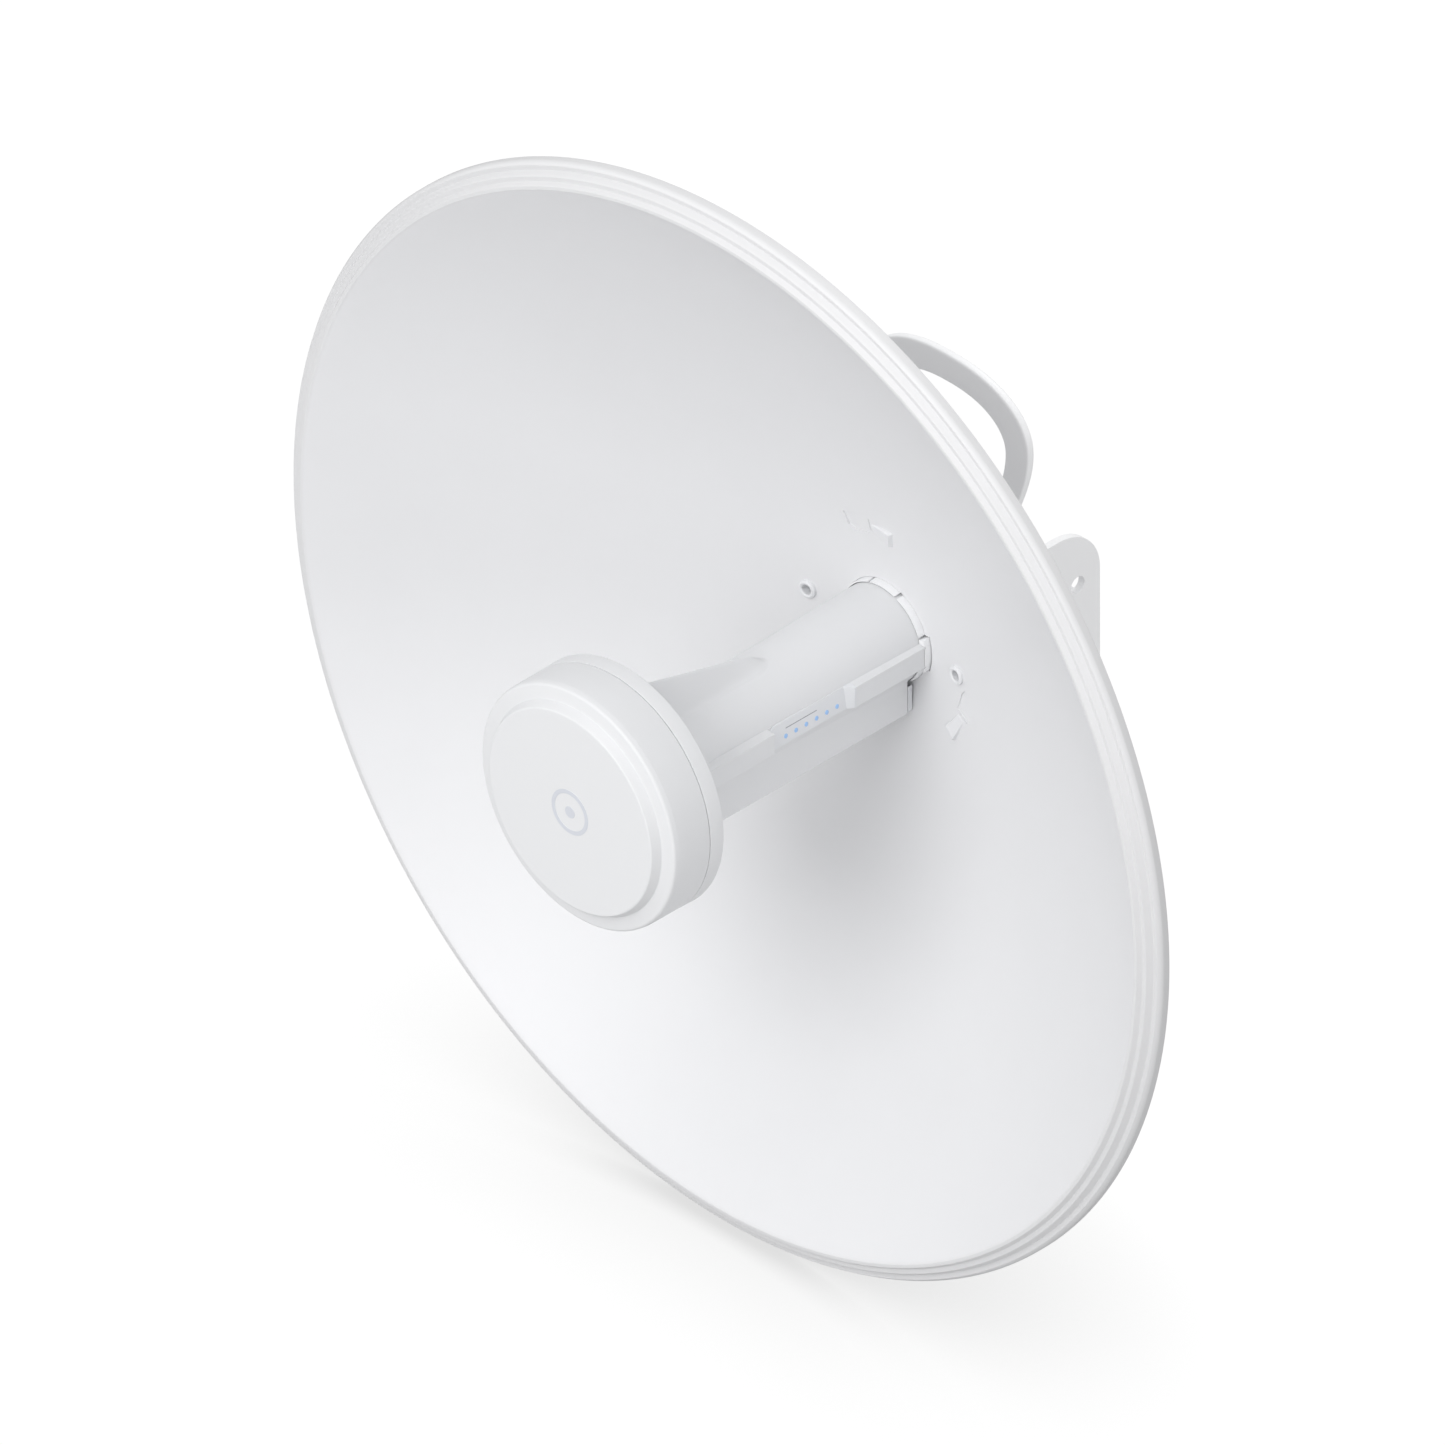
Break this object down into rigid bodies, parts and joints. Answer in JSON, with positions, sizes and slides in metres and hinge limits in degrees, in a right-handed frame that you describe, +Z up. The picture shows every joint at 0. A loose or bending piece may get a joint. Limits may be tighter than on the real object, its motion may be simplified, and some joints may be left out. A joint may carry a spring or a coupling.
{
  "type": "parabolic dish antenna",
  "caption": "Round parabolic point-to-point dish with its radio built into a central feed tube, on a tilting steel bracket with a slotted rear face for a pole.",
  "frame": {"origin": "centre of the flat rear face of the pole bracket", "axes": "+Y rearwards out of that face, towards the pole; the dish looks along -Y; +X to the right and +Z up; metres"},
  "size_m": [0.42, 0.2319, 0.42],
  "materials": {
    "painted_steel": "satin powder coat",
    "white_plastic": "fine moulded grain",
    "grey_plastic": "fine moulded grain",
    "zinc_steel": "zinc plated",
    "circuit_board": "solder mask",
    "copper": "plated",
    "black_rubber": "matt",
    "black_plastic": "matt",
    "light_pipe": "clear, lit blue",
    "tin_plate": "tin plated"
  },
  "bodies": {
    "pole_mount": {"pole_bracket": "painted_steel", "pivot_bolt": "zinc_steel", "pivot_nut": "zinc_steel", "pivot_washer_left": "zinc_steel", "pivot_washer_right": "zinc_steel", "lock_bolt": "zinc_steel", "lock_nut": "zinc_steel", "lock_washer_left": "zinc_steel", "lock_washer_right": "zinc_steel"},
    "dish": {"dish_reflector": "painted_steel", "hub_adapter": "white_plastic", "rear_cap": "white_plastic", "cable_grommet": "black_rubber", "dish_bracket": "painted_steel", "carry_loop": "white_plastic", "loop_rivet_left": "zinc_steel", "loop_rivet_right": "zinc_steel", "hub_eyelet_left": "zinc_steel", "hub_eyelet_right": "zinc_steel"},
    "feed": {"antenna_board": "circuit_board", "antenna_screw_1": "zinc_steel", "antenna_screw_2": "zinc_steel", "antenna_screw_3": "zinc_steel", "antenna_spacer_1": "tin_plate", "antenna_spacer_2": "tin_plate", "antenna_spacer_3": "tin_plate", "board_screw_1": "zinc_steel", "board_screw_2": "zinc_steel", "feed_coax_left": "black_plastic", "feed_coax_right": "black_plastic", "feed_head_base": "white_plastic", "feed_head_cap": "white_plastic", "feed_tail": "white_plastic", "feed_tube_lower": "white_plastic", "feed_tube_upper": "white_plastic", "head_screw_1": "zinc_steel", "head_screw_2": "zinc_steel", "head_screw_3": "zinc_steel", "head_screw_4": "zinc_steel", "head_seal": "black_rubber", "led_window": "grey_plastic", "light_pipe": "light_pipe", "main_board": "circuit_board", "network_jack": "tin_plate", "patch_post": "tin_plate", "patch_radiator": "copper", "reset_switch": "black_plastic", "rf_shield": "tin_plate", "splash_plate": "tin_plate"},
    "release_latch": {"release_latch": "grey_plastic"},
    "reset_button": {"reset_button": "grey_plastic"}
  },
  "joints": [
    {"name": "tilt", "type": "hinge", "parent": "pole_mount", "child": "dish", "pos_m": [0, -0.0366, -0.013], "axis": [1, 0, 0], "range_deg": [-20, 20]},
    {"name": "feed_slide", "type": "slide", "parent": "dish", "child": "feed", "axis": [0, -1, 0], "range_m": [0, 0.03]},
    {"name": "latch_press", "type": "slide", "parent": "feed", "child": "release_latch", "axis": [0, 0, 1], "range_m": [0, 0.002], "stiffness_N_per_m": 600, "springref_m": -0.001},
    {"name": "reset_press", "type": "slide", "parent": "feed", "child": "reset_button", "axis": [0, 0, 1], "range_m": [0, 0.0008], "stiffness_N_per_m": 900, "springref_m": -0.0005}
  ]
}
